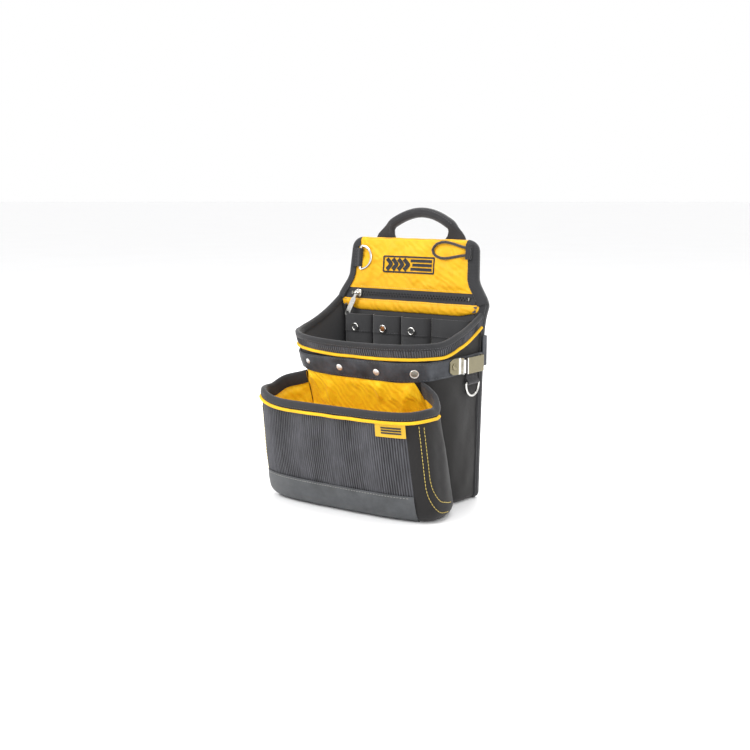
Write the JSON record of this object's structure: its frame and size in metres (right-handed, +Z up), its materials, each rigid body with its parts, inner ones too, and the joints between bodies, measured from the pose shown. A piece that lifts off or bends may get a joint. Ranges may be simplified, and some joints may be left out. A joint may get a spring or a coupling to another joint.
{
  "type": "electrician tool pouch",
  "caption": "Belt-worn tool pouch: scoop-mouthed main pocket with inner tool sleeves on a padded back panel, bulging front pocket, zip pocket, riveted strap, rings, tape clip and carry handle.",
  "frame": {"origin": "middle of the footprint, on the surface that the pouch stands on", "axes": "+X to the right of the pouch seen from the front, +Y towards the back panel and the belt, +Z up"},
  "size_m": [0.2328, 0.1903, 0.33],
  "materials": {
    "black_cordura": "coarse woven nylon",
    "ribbed_cloth": "fine vertical ribs",
    "binding_tape": "grosgrain tape",
    "webbing": "herringbone webbing",
    "dark_lining": "plain woven lining",
    "yellow_cloth": "wrinkled nylon",
    "yellow_piping": "satin piping",
    "smooth_band": "smooth coated cloth, semi gloss",
    "foam": "closed-cell foam",
    "board": "stiffener sheet",
    "zip_tape": "knitted zip tape",
    "zip_plastic": "moulded teeth",
    "nickel": "polished nickel plate",
    "clip_steel": "satin nickel plate",
    "copper": "dull copper",
    "elastic": "braided elastic"
  },
  "bodies": {
    "pouch": {"back_cover": "black_cordura", "back_foam": "foam", "back_stiffener": "board", "back_lining": "dark_lining", "panel_binding": "binding_tape", "seam_binding": "black_cordura", "belt_sleeve": "smooth_band", "belt_sleeve_rivets": "nickel", "main_wall": "black_cordura", "main_lining": "dark_lining", "main_base": "black_cordura", "base_board": "board", "floor_lining": "dark_lining", "mouth_band": "ribbed_cloth", "mouth_binding": "binding_tape", "mouth_piping": "yellow_piping", "inner_sleeves": "dark_lining", "sleeve_hem": "binding_tape", "sleeve_eyelets": "nickel", "eyelet_washers": "copper", "rivet_strap": "smooth_band", "strap_tails": "smooth_band", "strap_rivets": "nickel", "pocket_front": "ribbed_cloth", "pocket_gusset_right": "black_cordura", "pocket_gusset_left": "black_cordura", "pocket_base": "black_cordura", "pocket_lining": "yellow_cloth", "pocket_back_lining": "yellow_cloth", "pocket_floor_lining": "yellow_cloth", "kick_band": "smooth_band", "pocket_binding": "binding_tape", "pocket_piping": "yellow_piping", "tag_label": "yellow_cloth", "yellow_panel": "yellow_cloth", "badge_patch": "webbing", "zip_tape_upper": "zip_tape", "zip_tape_lower": "zip_tape", "zip_teeth": "zip_plastic", "zip_stops": "nickel", "zip_strip": "yellow_cloth", "zip_bag": "dark_lining", "upper_ring_tab": "webbing", "side_ring_tab": "webbing", "tape_clip": "clip_steel", "clip_rivets": "nickel", "cord_loop": "elastic", "loop_tab": "webbing", "handle_anchors": "webbing"},
    "handle": {"handle_legs": "webbing", "handle_grip": "webbing"},
    "slider": {"zip_slider": "nickel"},
    "puller": {"zip_puller": "nickel"},
    "upper_ring": {"upper_d_ring": "nickel"},
    "side_ring": {"side_d_ring": "nickel"}
  },
  "joints": [
    {"name": "handle_fold", "type": "hinge", "parent": "pouch", "child": "handle", "pos_m": [0.003, 0.08561, 0.2987], "axis": [1, 0, 0], "range_deg": [-90, 80]},
    {"name": "zip_slide", "type": "slide", "parent": "pouch", "child": "slider", "axis": [1, 0, 0], "range_m": [0, 0.146]},
    {"name": "puller_flip", "type": "hinge", "parent": "slider", "child": "puller", "pos_m": [-0.072, 0.05949, 0.23022], "axis": [-1, 0, 0], "range_deg": [0, 150]},
    {"name": "upper_ring_swing", "type": "hinge", "parent": "pouch", "child": "upper_ring", "pos_m": [-0.071, 0.06718, 0.27212], "axis": [0, -0.1132, -0.9936], "range_deg": [0, 150]},
    {"name": "side_ring_swing", "type": "hinge", "parent": "pouch", "child": "side_ring", "pos_m": [0.09968, 0.045, 0.14], "axis": [0, -1, 0], "range_deg": [0, 120]}
  ]
}
